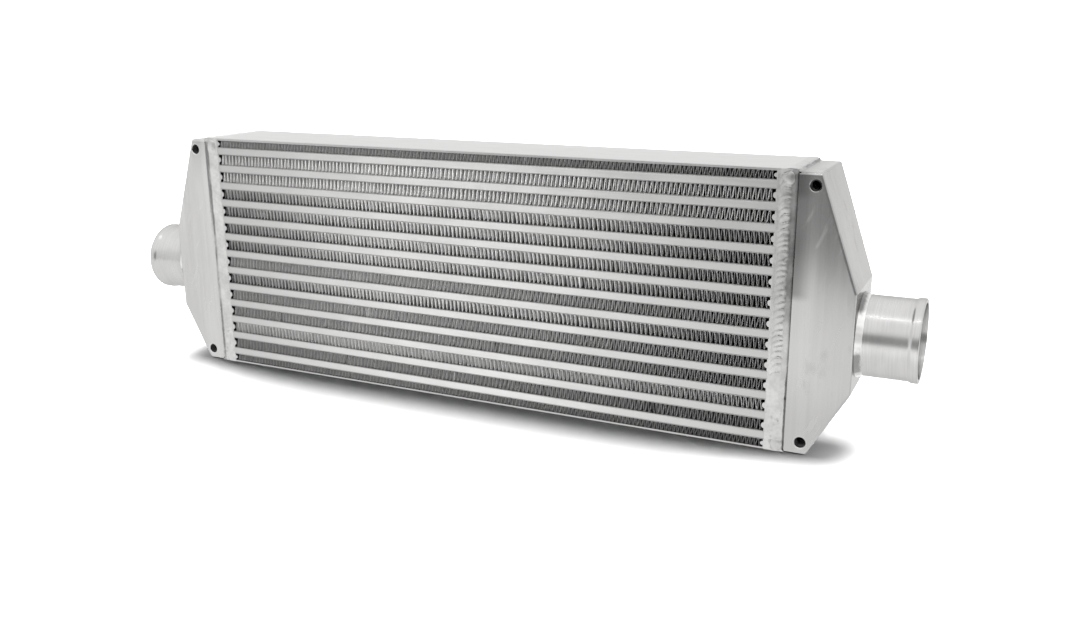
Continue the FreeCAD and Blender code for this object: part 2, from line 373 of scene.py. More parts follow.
def add_inputs(tree, whole, names):
    """Gives a node group its output and its number inputs, whole ones first, and returns them."""
    tree.interface.new_socket("Geometry", in_out="OUTPUT", socket_type="NodeSocketGeometry")
    tree.interface.new_socket("Metal", in_out="INPUT", socket_type="NodeSocketMaterial")
    for name in whole:
        tree.interface.new_socket(name, in_out="INPUT", socket_type="NodeSocketInt")
    for name in names:
        tree.interface.new_socket(name, in_out="INPUT", socket_type="NodeSocketFloat")
    entry = tree.nodes.new("NodeGroupInput")
    return {name: Socket(tree, entry.outputs[name]) for name in ("Metal",) + whole + names}


def close_tree(shape, material):
    """Ends a node group: instances made real, the material set, and the result handed out."""
    real = shape.node("GeometryNodeRealizeInstances", None, {"Geometry": shape})
    done = shape.node("GeometryNodeSetMaterial", None, {"Geometry": real, "Material": material})
    leave = shape.tree.nodes.new("NodeGroupOutput")
    shape.tree.links.new(done.out, leave.inputs["Geometry"])


def build_fin_tree():
    """The node group of a folded fin: a grid whose columns follow the folds."""
    tree = bpy.data.node_groups.new("folded_fin", "GeometryNodeTree")
    value = add_inputs(tree, ("Columns", "Rows"),
                       ("Pitch", "Height", "Depth", "Base", "Arch", "Skew", "Lean", "Crowd", "Uneven",
                        "Bend", "Seed"))
    start = value["Pitch"]
    grid = start.node("GeometryNodeMeshGrid", None,
                      {"Size X": 1.0, "Size Y": 1.0, "Vertices X": value["Columns"],
                       "Vertices Y": value["Rows"]})
    index = start.node("GeometryNodeInputIndex")
    column = start.maths("FLOOR", (index + 0.5) / value["Rows"])
    station = index - column * value["Rows"]
    half_fold = fold_points / 2
    half_number = start.maths("FLOOR", (column + 0.5) / half_fold)
    phase = column - half_number * half_fold
    rise = phase * 0.0
    run = half_number / 2.0
    for step in range(len(fold_runs)):
        reached = between(phase, step, step + 1.0, "LINEAR")
        rise = rise + reached * fold_rises[step]
        run = run + reached * fold_runs[step]
    going_down = start.maths("MODULO", half_number, 2.0)
    level = 1.0 - (1.0 - rise - going_down * (1.0 - 2.0 * rise)) ** value["Arch"]
    run = run * value["Pitch"]
    span = (value["Columns"] - 1.0) / fold_points * value["Pitch"]
    along = run - span / 2.0

    reach = station / (value["Rows"] - 1.0) * 2.0 - 1.0
    inner = 1.0 - abs(reach)
    depth_share = 1.0 - inner ** 3.0
    across = start.maths("SIGN", reach) * depth_share * value["Depth"] / 2.0

    def wander(cells_along, cells_across, seed_step):
        """Slow noise from about -0.5 to 0.5 with this many cells to a metre."""
        place = start.node("ShaderNodeCombineXYZ", None,
                           {0: along * cells_along, 1: across * cells_across,
                            2: value["Seed"] * 7.3 + seed_step})
        return start.node("ShaderNodeTexNoise", None,
                          {"Vector": place, "Scale": 1.0, "Detail": 1.0, "Roughness": 0.5}) - 0.5

    def fold_shift(number):
        """A random number from -0.5 to 0.5 for each half fold."""
        return start.node("ShaderNodeTexWhiteNoise", {"noise_dimensions": "1D"},
                          {"W": number + value["Seed"] * 311.0}) - 0.5

    nearer = between(phase, 2.0, 4.0, "LINEAR")
    uneven = fold_shift(half_number) * (1.0 - nearer) + fold_shift(half_number + 1.0) * nearer
    lean = (wander(35.0, 6.0, 0.0) * value["Lean"] + value["Skew"]) * (level - 0.5)
    crowd = wander(90.0, 4.0, 31.7) * value["Crowd"]
    hit = between(wander(60.0, 0.0, 63.1), 0.13, 0.22)
    push = wander(260.0, 0.0, 97.9)
    at_edge = between(abs(reach), 0.7, 1.0)
    bend = hit * push * at_edge * value["Bend"]
    height = value["Height"] - fin_sheet
    place = start.node("ShaderNodeCombineXYZ", None,
                       {0: along + lean + crowd + bend + uneven * value["Uneven"], 1: across,
                        2: value["Base"] + fin_sheet / 2 + level * height})
    folded = start.node("GeometryNodeSetPosition", None, {"Geometry": grid, "Position": place})
    close_tree(folded, value["Metal"])
    return tree


def grown(name, tree, values, after=None):
    """Runs a node group with these values and keeps the plain mesh that it makes."""
    piece = bpy.data.objects.new(name, bpy.data.meshes.new(name))
    bpy.context.scene.collection.objects.link(piece)
    nodes = piece.modifiers.new("nodes", "NODES")
    nodes.node_group = tree
    for item in tree.interface.items_tree:
        if item.in_out == "INPUT" and item.name in values:
            nodes[item.identifier] = values[item.name]
    if after:
        after(piece)
    graph = bpy.context.evaluated_depsgraph_get()
    mesh = bpy.data.meshes.new_from_object(piece.evaluated_get(graph), depsgraph=graph)
    piece.modifiers.clear()
    piece.data = mesh
    mesh.name = name
    return piece


def give_thickness(piece):
    """Turns the folded surface into a sheet of real thickness."""
    sheet = piece.modifiers.new("sheet", "SOLIDIFY")
    sheet.thickness = fin_sheet
    sheet.offset = 0.0


fin_end_gap = 0.0004
fin_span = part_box("right_spacer_bars")[0].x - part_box("left_spacer_bars")[1].x - 2 * fin_end_gap
fin_tree = build_fin_tree()
for number in range(1, air_rows + 1):
    node = "air_fin_{:02d}".format(number)
    low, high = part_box(node)
    pitch = end_pitch if number in (1, air_rows) else full_pitch
    row_metal, row_skew, row_arch = fin_finishes[rows_upwards[number - 1]]
    folds = round(fin_span / pitch)
    row = grown("folded_" + node, fin_tree,
                {"Metal": row_metal, "Columns": folds * fold_points + 1, "Rows": depth_stations,
                 "Pitch": fin_span / folds,
                 "Height": high.z - low.z, "Depth": high.y - low.y, "Base": low.z,
                 "Arch": row_arch, "Skew": row_skew, "Lean": fin_lean, "Crowd": fin_crowd,
                 "Uneven": fin_uneven, "Bend": fin_bend, "Seed": float(number)},
                after=give_thickness)
    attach(row, "root")
    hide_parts(node)

# End tanks
# Hollow aluminium castings with a soft crease down the front and back, dressed on a belt to a
# satin face. The upper part of the right one by the weld is painted darker as a painted dark
# reflection, and a pale mark was rubbed on it.
tank_crease = 0.0200
tank_crease_half = 0.0090
tank_smooth_below = 38.0
join_distance = 0.000004
flat_within = math.radians(0.4)
hole_inset = 0.0142
hole_levels = (0.0104, 0.2104)
tank_tint = 0.72
rub_foot_x = 0.2970
rub_foot_z = 0.1630
rub_slope = math.radians(24.0)

# Each pair says where a soft edge of a mark begins and where it ends.
hole_shade_edge = (0.0041, 0.0045)
rim_highlight_edge = (0.0052, 0.0060)
polished_upwards = (0.06, 0.14)
dimming_beside_weld = (0.0030, 0.0190)
dimming_upwards = (0.121, 0.129)
dimming_thins = (0.160, 0.190)
dimming_thickens = (0.198, 0.206)
rub_begins = (0.0, 0.004)
rub_ends = (0.016, 0.021)
rub_side = (0.0002, 0.0020)


def tank_metal(name, hole_places, joint, dimming_share, tone_scale):
    """Dressed casting: belt lines, scratches, a rub mark; painted light and shade at the holes and weld."""
    material, shader, point = new_metal(name)
    shader.inputs["Specular Tint"].default_value = grey(tank_tint)
    cloud = noise(point, (22.0, 22.0, 9.0), 4.0, 0.55)
    stripes = between(noise(point, (75.0, 75.0, 3.0), 2.0, 0.5, (0.7, 0.0, 0.4)), 0.35, 0.65)
    belt = noise(point, (700.0, 700.0, 16.0), 2.0, 0.6)
    slant = point.node("ShaderNodeMapping", None,
                       {"Vector": point, "Rotation": (0.0, math.radians(-24.0), 0.0)})
    scratch = between(noise(slant, (170.0, 60.0, 26.0), 3.0, 0.6, (3.1, 0.0, 5.7)), 0.56, 0.80)
    smear = between(noise(point, (60.0, 60.0, 25.0), 3.0, 0.6, (8.0, 2.0, 1.0)), 0.58, 0.75)
    # All marks are placed by length and height alone, so the back face shows them too.
    along = part_of(point, 0)
    height = part_of(point, 2)
    face_point = vector_maths("MULTIPLY", point, (1.0, 0.0, 1.0))
    first_hole, second_hole = [vector_maths("DISTANCE", face_point, place, 1) for place in hole_places]
    near_hole = first_hole.maths("MINIMUM", first_hole, second_hole)
    # Painted highlight: a pale ring at the rim of each hole.
    ring = 1.0 - between(near_hole, *rim_highlight_edge)
    # Painted shade: near black over each hole.
    painted_hole_shade = 1.0 - between(near_hole, *hole_shade_edge)
    past_weld = abs(along) - joint + 0.002 * cloud
    # Painted dark reflection: the right tank darker beside the weld from about mid height up.
    painted_dimming = (1.0 - between(past_weld, *dimming_beside_weld)) * between(height, *dimming_upwards)
    thinner = between(height, *dimming_thins) * (1.0 - between(height, *dimming_thickens))
    painted_dimming = painted_dimming * (1.0 - 0.6 * thinner)
    from_foot = along - rub_foot_x
    above_foot = height - rub_foot_z
    rub_along = from_foot * math.sin(rub_slope) + above_foot * math.cos(rub_slope)
    rub_across = from_foot * math.cos(rub_slope) - above_foot * math.sin(rub_slope)
    rub = between(rub_along, *rub_begins) * (1.0 - between(rub_along, *rub_ends))
    rub = rub * (1.0 - between(abs(rub_across), *rub_side))
    tone = between(cloud * 0.7 + belt * 0.3, 0.34, 0.66)
    base = blend(tone * 0.5 + stripes * 0.5, grey(0.92 * tone_scale), grey(1.08 * tone_scale))
    # Each mark covers a share of the metal with a tone of its own.
    for mark, cover, tone_share in ((scratch, 0.35, 1.4), (smear, 0.25, 0.8), (ring, 0.3, 1.3),
                                    (painted_dimming, dimming_share, 0.25), (rub, 0.32, 1.7)):
        base = blend(mark * cover, base, grey(tone_share * tone_scale))
    base = blend(painted_hole_shade, base, grey(0.03))
    feed(shader, "Base Color", base)
    polish = between(height, *polished_upwards)
    rough = 0.23 - 0.05 * polish + 0.04 * belt + 0.12 * scratch + 0.08 * smear
    feed(shader, "Roughness", rough)
    feed(shader, "Normal", bump(belt * 0.4 + cloud * 0.6, 0.00002))
    return material


def softened_copy(node, name, crease_at, material):
    """A copy of a CAD node's mesh, joined, with its slight bend spread over a wider strip."""
    work = bmesh.new()
    work.from_mesh(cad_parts[node].data)
    bmesh.ops.remove_doubles(work, verts=work.verts, dist=join_distance)
    bmesh.ops.dissolve_limit(work, angle_limit=flat_within, verts=work.verts, edges=work.edges)
    for place in (crease_at - tank_crease_half, crease_at + tank_crease_half):
        bmesh.ops.bisect_plane(work, geom=work.verts[:] + work.edges[:] + work.faces[:],
                               plane_co=(place, 0.0, 0.0), plane_no=(1.0, 0.0, 0.0))
    for face in work.faces:
        face.smooth = True
    for edge in work.edges:
        edge.smooth = edge.calc_face_angle(0.0) < math.radians(tank_smooth_below)
    mesh = bpy.data.meshes.new(name)
    work.to_mesh(mesh)
    work.free()
    mesh.materials.append(material)
    piece = bpy.data.objects.new(name, mesh)
    bpy.context.scene.collection.objects.link(piece)
    shading = piece.modifiers.new("shading", "WEIGHTED_NORMAL")
    shading.keep_sharp = True
    shading.weight = 100
    return piece


for side, sign, dimming_share, tone_scale in (("left", -1.0, 0.0, 0.372), ("right", 1.0, 0.62, 0.316)):
    low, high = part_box(side + "_end_tank")
    joint_x = min(abs(low.x), abs(high.x))
    holes = [(sign * (joint_x + hole_inset), 0.0, level) for level in hole_levels]
    satin_metal = tank_metal(side + "_tank_metal", holes, joint_x, dimming_share, tone_scale)
    tank = softened_copy(side + "_end_tank", side + "_cast_tank", sign * (joint_x + tank_crease),
                         satin_metal)
    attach(tank, "root")
    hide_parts(side + "_end_tank")

# Threads
# The four mounting holes are drilled into the castings and tapped for bolts. The tap leaves a
# fine spiral ridge down each bore, in the tank's own metal, painted near black as painted shade.
thread_minor = 0.0040
thread_pitch = 0.0015
thread_turns = 10.0
thread_steps = 20
thread_ridge = 0.0005
thread_start = 0.0014
ridge_sides = 3
# Painted shade: far darker than the tank, standing for the shade in the bore.
thread_metal = rubbed_metal("cut_thread", dark=0.06, light=0.10, smooth=0.30, rough=0.40,
                            grain=(300.0, 300.0, 300.0), depth=0.00002)
thread_tree = bpy.data.node_groups.new("tapped_thread", "GeometryNodeTree")
thread = add_inputs(thread_tree, (), ("Minor radius", "Pitch", "Turns", "Ridge", "Hole X", "Face Y",
                                      "Low hole Z", "High hole Z"))
coil = thread["Turns"].node("GeometryNodeCurveSpiral", None,
                            {"Resolution": thread_steps, "Rotations": thread["Turns"],
                             "Start Radius": thread["Minor radius"],
                             "End Radius": thread["Minor radius"],
                             "Height": thread["Turns"] * thread["Pitch"]})
ridge = thread["Turns"].node("GeometryNodeCurvePrimitiveCircle", None,
                             {"Resolution": ridge_sides, "Radius": thread["Ridge"]})
screw = coil.node("GeometryNodeCurveToMesh", None,
                  {"Curve": coil, "Profile Curve": ridge, "Fill Caps": True})
both_holes = coil.node("GeometryNodeJoinGeometry")
for level in ("Low hole Z", "High hole Z"):
    spot = coil.node("ShaderNodeCombineXYZ", None,
                     {0: thread["Hole X"], 1: thread["Face Y"], 2: thread[level]})
    placed = coil.node("GeometryNodeTransform", None,
                       {"Geometry": screw, "Translation": spot,
                        "Rotation": (math.radians(-90.0), 0.0, 0.0)})
    thread_tree.links.new(placed.out, both_holes.out.node.inputs["Geometry"])
close_tree(both_holes, thread["Metal"])
for side, sign in (("left", -1.0), ("right", 1.0)):
    low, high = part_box(side + "_end_tank")
    joint_x = min(abs(low.x), abs(high.x))
    threads = grown(side + "_tank_threads", thread_tree,
                    {"Metal": thread_metal, "Minor radius": thread_minor, "Pitch": thread_pitch,
                     "Turns": thread_turns, "Ridge": thread_ridge,
                     "Hole X": sign * (joint_x + hole_inset),
                     "Face Y": low.y + thread_start, "Low hole Z": hole_levels[0],
                     "High hole Z": hole_levels[1]})
    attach(threads, "root")

# Pipes
# Short turned aluminium tubes, 63.5 mm across, let into the tanks. A raised lip at the free end
# holds a hose and its clamp, and the lathe leaves fine lines round them.
pipe_wall = 0.0025
lip_length = 0.0050
lip_raise = 0.0010
lip_shoulder = 0.0030
lip_edge = 0.0006
mouth_edge = 0.0004
pipe_segments = 128
edge_steps = 5
pipe_smooth_below = 40.0
pipe_tint = 0.6
pipe_metal, pipe_shader, pipe_point = new_metal("turned_pipe")
turned = noise(pipe_point, (1500.0, 25.0, 25.0), 2.0, 0.6)
pipe_cloud = noise(pipe_point, (40.0, 22.0, 22.0), 3.0, 0.55)
feed(pipe_shader, "Base Color", blend(between(turned * 0.4 + pipe_cloud * 0.6, 0.32, 0.68),
                                      grey(0.345), grey(0.40)))
feed(pipe_shader, "Roughness", 0.21 + 0.04 * turned + 0.06 * pipe_cloud)
feed(pipe_shader, "Normal", bump(turned, 0.000006))
pipe_shader.inputs["Specular Tint"].default_value = grey(pipe_tint)


def quarter_round(along, out, radius, start):
    """Points on a quarter circle round (along, out), from the angle start onwards."""
    turn = -math.pi / 2
    return [(along + radius * math.cos(start + turn * step / edge_steps),
             out + radius * math.sin(start + turn * step / edge_steps))
            for step in range(edge_steps + 1)]


for side, sign in (("left", -1.0), ("right", 1.0)):
    low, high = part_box(side + "_pipe")
    foot = min(abs(low.x), abs(high.x))
    end = max(abs(low.x), abs(high.x))
    axis_z = (low.z + high.z) / 2
    lip_radius = (high.z - low.z) / 2
    outer = lip_radius - lip_raise
    inner = outer - pipe_wall
    shoulder_start = end - lip_length - lip_shoulder
    profile = [(foot, inner), (foot, outer)]
    for step in range(edge_steps + 1):
        share = step / edge_steps
        profile.append((shoulder_start + lip_shoulder * share,
                        outer + lip_raise * share * share * (3 - 2 * share)))
    profile += quarter_round(end - lip_edge, lip_radius - lip_edge, lip_edge, math.pi / 2)
    profile += quarter_round(end - mouth_edge, inner + mouth_edge, mouth_edge, 0.0)
    circle = [2 * math.pi * segment / pipe_segments for segment in range(pipe_segments)]
    work = bmesh.new()
    loft(work, [[(sign * x, radius * math.cos(angle), axis_z + radius * math.sin(angle))
                 for angle in circle] for x, radius in profile], True)
    pipe = finished(side + "_turned_pipe", work, pipe_metal, pipe_smooth_below)
    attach(pipe, "root")
    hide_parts(side + "_pipe")

# Core welds
# Beads of filler metal laid by hand round the joint between tank and core. The right one stands
# proud in overlapping ripples above a stretch that was ground flat. The left one is ground smooth.
bead_cover = 0.0138
bead_raise = 0.0022
bead_lip = 0.0016
joint_chamfer = 0.0020
ground_raise = 0.0003
ground_lip = 0.0008
ground_height = 0.062
ground_blend = 0.005
bead_step = 0.0007
bead_points = 28
bead_shy = 0.0022
bead_groove = 0.0032
groove_depth = 0.0011
weld_skin = 0.0001
bead_sunk = 0.0002
bead_stop = 0.0003
ripple_pitch = 0.0050
ripple_slant = 0.35
ripple_bow = 75.0
ripple_depth = 0.0012
crown_fullness = 0.65
lump_share = 0.35
toe_ridge_at = 0.0004
toe_ridge_half = 0.0009
edge_waver = 0.0006
ground_waver = 0.0004
ground_wave = 0.00025
pit_depth = 0.0008
notch_shade = 0.75
top_ripple = 0.0003
top_waver = 0.0002
shade_and_joint_waver = 0.0034
weld_smooth_below = 60.0

# Each pair says where a soft edge begins and where it ends, in height or past the joint.
upper_stretch = (0.085, 0.125)
below_core_top = (0.0045, 0.0025)
toe_line_edge = (0.0009, 0.0016)


def bead_metal(name, shade_from, shade_width, low_shade, low_tone, high_tone):
    """Weld metal: painted shade in its notches and along the joint, and a dark wandering line on the top.
    """
    material, shader, point = new_metal(name)
    spots = noise(point, (420.0, 420.0, 420.0), 3.0, 0.6)
    cloud = noise(point, (90.0, 90.0, 90.0), 3.0, 0.6, (4.0, 7.0, 1.0))
    patches = between(noise(point, (60.0, 60.0, 45.0), 3.0, 0.6, (2.0, 3.0, 8.0)), 0.35, 0.6)
    wander = shade_and_joint_waver * (noise(point, (120.0, 120.0, 120.0), 3.0, 0.6, (1.0, 9.0, 4.0)) - 0.5)
    height = part_of(point, 2)
    core_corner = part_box("top_plate")[1]
    past_joint = abs(part_of(point, 0)) - core_corner.x
    at_top = between(height, core_corner.z - below_core_top[0], core_corner.z - below_core_top[1])
    by_joint = between(past_joint + 0.6 * wander, shade_from, shade_from + shade_width)
    upper = between(height, *upper_stretch)
    # Painted shade in the valley by the joint, weaker low on the right bead's ground stretch.
    painted_shade = by_joint * (0.32 + 0.45 * patches) * (low_shade + (1.0 - low_shade) * upper)
    toe_line = between(past_joint + 0.5 * wander, *toe_line_edge)
    # Painted shade in the notches between ripples, stored on the mesh.
    in_notch = point.node("ShaderNodeAttribute", {"attribute_name": "painted_shade"}, None, "Fac")
    mottle = between(cloud * 0.6 + spots * 0.4, 0.3, 0.7)
    low_colour = blend(mottle, grey(0.30 * low_tone), grey(0.41 * low_tone))
    colour = blend(upper, low_colour, blend(mottle, grey(0.30 * high_tone), grey(0.41 * high_tone)))
    colour = blend(painted_shade * (1.0 - at_top), colour, grey(0.08))
    colour = blend(toe_line * at_top * (0.15 + 0.75 * patches), colour, grey(0.05))
    feed(shader, "Base Color", blend(in_notch, colour, grey(0.05)))
    feed(shader, "Roughness", 0.30 + 0.22 * spots)
    feed(shader, "Normal", bump(spots, 0.00012))
    return material


def eased(value, low, high):
    """0 below low, 1 above high and a soft step between them."""
    share = min(1.0, max(0.0, (value - low) / (high - low)))
    return share * share * (3.0 - 2.0 * share)


def rough_at(cells, seed, *place):
    """Seeded noise from about -1 to 1 at a place, with this many cells to a metre."""
    point = Vector(place) * cells + Vector((seed * 17.3, seed * 5.1, seed * 9.7))
    return noise_source.noise(point)


def ripple(along, across, seed):
    """How far below its crest a rippled bead lies, 0 at a crest and 1 in the notch above it."""
    wander = 0.8 * rough_at(60.0, seed, along, 0.0, 0.0)
    wander += 0.25 * rough_at(190.0, seed, along, across, 0.0)
    turns = (along - ripple_slant * across + ripple_bow * across * across) / ripple_pitch + wander
    before_notch = 1.0 - turns % 1.0
    strength = 0.45 + 0.55 * eased(rough_at(110.0, seed + 9, along, across, 0.0), -0.35, 0.25)
    fullness = 1.0 - 0.6 * eased(before_notch, 0.20, 1.0)
    return strength * (1.0 - eased(before_notch, 0.0, 0.20) * fullness)


def face_bead_section(z, raised, seed):
    """The closed section of a bead on a face: distance past the joint, distance out, and painted shade."""
    edge_wander = rough_at(130.0, seed + 5, z, 0.0, 0.0)
    fine_wander = rough_at(420.0, seed + 6, z, 0.0, 0.0)
    bead_start = -bead_cover + bead_shy * (1.0 + 0.5 * edge_wander)
    bead_end = -bead_groove + edge_waver * fine_wander
    section = []
    for step in range(bead_points + 1):
        share = step / bead_points
        wide = -bead_cover + (bead_cover + bead_lip) * share
        within = min(1.0, max(0.0, (wide - bead_start) / (bead_end - bead_start)))
        crown = math.sin(math.pi * within) ** crown_fullness
        across = wide + bead_cover / 2
        notch = ripple(z, across, seed)
        lumps = 0.5 + 0.5 * rough_at(90.0, seed + 3, z, across, 0.0)
        proud = crown * (bead_raise * (1.0 - lump_share * lumps) - ripple_depth * notch)
        beside_joint = 1.0 - eased(wide, -0.002, 0.0)
        proud += ground_raise * eased(share, 0.0, 0.06) * (1.0 - crown) * beside_joint
        ridge = max(0.0, 1.0 - abs(wide - toe_ridge_at) / toe_ridge_half)
        proud -= groove_depth * eased(wide, bead_end - 0.001, 0.0) * (1.0 - 0.7 * ridge)
        if wide < 0.0:
            proud = max(proud, weld_skin)
        flat = -bead_cover + (bead_cover + ground_lip + ground_waver * fine_wander) * share
        smooth = ground_raise * eased(share, 0.0, 0.04)
        smooth += ground_wave * rough_at(60.0, seed + 7, z, flat, 0.0) * eased(share, 0.1, 0.5)
        pitted = eased(rough_at(420.0, seed + 8, z, flat, 0.0), 0.28, 0.5) * (1.0 - eased(z, 0.02, 0.05))
        smooth -= pit_depth * pitted * eased(share, 0.15, 0.3) * (1.0 - eased(share, 0.8, 0.9))
        smooth -= (ground_raise + joint_chamfer - ground_lip) * eased(share, 0.94, 1.0)
        section.append((wide * raised + flat * (1.0 - raised), proud * raised + smooth * (1.0 - raised),
                        raised * crown * notch_shade * eased(notch, 0.55, 0.95)))
    return section + [(0.0, -joint_chamfer - bead_sunk, 0.0), (0.0, -2 * bead_sunk, 0.0),
                      (-bead_cover, -bead_sunk, 0.0)]


def face_bead(work, sign, joint_x, face_y, low_z, high_z, raised_from, seed):
    """One bead up the front (face_y below zero) or the back of a joint."""
    out = math.copysign(1.0, face_y)
    rings = []
    shade_rows = []
    count = round((high_z - low_z) / bead_step)
    for step in range(count + 1):
        z = low_z + (high_z - low_z) * step / count
        raised = eased(z, raised_from - ground_blend, raised_from + ground_blend)
        section = face_bead_section(z, raised, seed)
        rings.append([(sign * (joint_x + along), face_y + out * proud, z)
                      for along, proud, painted_shade in section])
        shade_rows.append([painted_shade for along, proud, painted_shade in section])
    shade_layer = work.verts.layers.float["painted_shade"]
    for row, row_shades in zip(loft(work, rings, False), shade_rows):
        for vert, painted_shade in zip(row, row_shades):
            vert[shade_layer] = painted_shade


def across_bead(work, sign, joint_x, half_depth, corners, seed):
    """A bead across the top or bottom of a joint, through the corners of its section."""
    rings = []
    count = round(2 * half_depth / bead_step)
    for step in range(count + 1):
        y = half_depth * (2 * step / count - 1)
        ring = []
        for along, z, is_crown in corners:
            sink = 0.0
            if is_crown:
                sink = top_ripple * ripple(y, along, seed)
                sink += top_waver * rough_at(150.0, seed, y, along, 0.0)
            ring.append((sign * (joint_x + along), y, z - max(0.0, sink)))
        rings.append(ring)
    loft(work, rings, False)


def drop_of_metal(work, centre, radii, out):
    """A round drop of weld metal that stands on a face, flattened on its underside."""
    levels = 7
    turns = 20
    rings = []
    for level in range(levels):
        tilt = math.pi / 2 * level / (levels - 0.5)
        ring = []
        for step in range(turns):
            angle = 2 * math.pi * step / turns
            bulge = rough_at(900.0, centre.z * 100.0, math.cos(angle), math.sin(angle), tilt)
            wobble = 1.0 + 0.12 * bulge
            ring.append((centre.x + radii[0] * wobble * math.cos(tilt) * math.cos(angle),
                         centre.y + out * radii[1] * math.sin(tilt),
                         centre.z + radii[2] * wobble * math.cos(tilt) * math.sin(angle)))
        rings.append(ring)
    loft(work, rings, False)


def core_weld(side, sign, metal, front_raised_from, back_raised_from, drops, seed):
    """All beads and drops round one joint, as one piece."""
    tank_low, tank_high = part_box(side + "_end_tank")
    plate_low, plate_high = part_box("top_plate")
    weld_low, weld_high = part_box(side + "_core_weld")
    joint_x = plate_high.x
    half_depth = plate_high.y
    top = plate_high.z
    work = bmesh.new()
    work.verts.layers.float.new("painted_shade")
    for face_y, raised_from, step in ((-half_depth, front_raised_from, 0),
                                      (half_depth, back_raised_from, 11)):
        face_bead(work, sign, joint_x, face_y, weld_low.z, top - bead_stop, raised_from, seed + step)
    # A point of these sections is its distance past the joint, its height, and whether it ripples.
    above = [(0.0, tank_high.z - joint_chamfer, False), (joint_chamfer, tank_high.z, False),
             (0.0030, tank_high.z, False), (0.0020, tank_high.z + 0.0004, True),
             (0.0012, top - 0.0005, True), (0.0, top + 0.0001, True), (-0.0020, top + 0.00018, False),
             (-0.0046, top + 0.00014, False), (-0.0068, top, False), (0.0, top - 0.0001, False)]
    across_bead(work, sign, joint_x, half_depth, above, seed + 2)
    below = [(0.0, tank_low.z + joint_chamfer, False), (joint_chamfer, tank_low.z, False),
             (joint_chamfer / 2, weld_low.z, False), (0.0, weld_low.z, False)]
    across_bead(work, sign, joint_x, half_depth, below, seed + 4)
    for along, level, radii in drops:
        drop_of_metal(work, Vector((sign * (joint_x + along), -half_depth, level)), radii, -1.0)
    weld = finished(side + "_welded_joint", work, metal, weld_smooth_below)
    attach(weld, "root")
    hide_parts(side + "_core_weld")


nowhere = 1.0
everywhere = -1.0

# A drop is its distance past the joint, its height and its three radii.
left_drops = ((-0.0062, 0.2135, (0.0052, 0.0016, 0.0074)),)
right_drops = ((-0.0050, 0.2150, (0.0048, 0.0022, 0.0058)), (-0.0040, 0.0062, (0.0050, 0.0017, 0.0052)))
left_bead = bead_metal("left_bead_metal", shade_from=-0.0031, shade_width=0.0015, low_shade=1.0,
                       low_tone=1.18, high_tone=1.24)
right_bead = bead_metal("right_bead_metal", shade_from=-0.0046, shade_width=0.0022, low_shade=0.10,
                        low_tone=1.14, high_tone=0.86)
core_weld("left", -1.0, left_bead, nowhere, nowhere, left_drops, 1.0)
core_weld("right", 1.0, right_bead, ground_height, everywhere, right_drops, 2.0)

# Pipe welds
# A hollow fillet of filler metal, run round the foot of each pipe, with a painted highlight just
# above the pipe's middle and painted shade in the corner above and below.
foot_leg = 0.0050
foot_raise = 0.0021
foot_sunk = 0.0002
foot_points = 8
foot_steps = 300
foot_ripples = 34
foot_hollow = 1.45
foot_sag = 0.00006
highlight_level = 0.30

# Each pair says where a soft edge begins and where it ends: in shares of the pipe's radius up or
# down from its axis, and for the two reaches in metres from the foot of the pipe.
shaded_above = (0.62, 0.84)
shaded_below = (0.10, 0.26)
unshaded_below = (0.70, 0.90)
highlight_fade = (0.30, 0.50)
upper_shade_reach = (0.0016, 0.0046)
lower_shade_reach = (0.0030, 0.0060)


def foot_metal(name, foot, axis_z, radius):
    """Weld metal with a painted highlight at the pipe's middle and painted shade by the tank above and
    below.
    """
    material, shader, point = new_metal(name)
    cloud = noise(point, (160.0, 160.0, 160.0), 3.0, 0.6)
    height = part_of(point, 2) - axis_z + 0.010 * (cloud - 0.5)
    drop = 0.0 - height
    above = between(height, shaded_above[0] * radius, shaded_above[1] * radius)
    below = between(drop, shaded_below[0] * radius, shaded_below[1] * radius)
    below = below * (1.0 - between(drop, unshaded_below[0] * radius, unshaded_below[1] * radius))
    past_foot = abs(part_of(point, 0)) - foot + 0.003 * (cloud - 0.5)
    # Painted shade in the corner by the tank, above and below the pipe.
    painted_shade = 0.85 * above * (1.0 - between(past_foot, *upper_shade_reach))
    painted_shade = painted_shade + 0.70 * below * (1.0 - between(past_foot, *lower_shade_reach))
    # Painted highlight: a pale band across the fillet a little above the pipe's axis.
    off_highlight = abs(height - highlight_level * radius)
    middle = 1.0 - between(off_highlight, highlight_fade[0] * radius, highlight_fade[1] * radius)
    base = blend(middle * 0.8, blend(cloud, grey(0.38), grey(0.48)), grey(0.62))
    feed(shader, "Base Color", blend(painted_shade, base, grey(0.08)))
    feed(shader, "Roughness", 0.22 + 0.12 * cloud + 0.16 * middle)
    feed(shader, "Normal", bump(cloud, 0.00010))
    return material


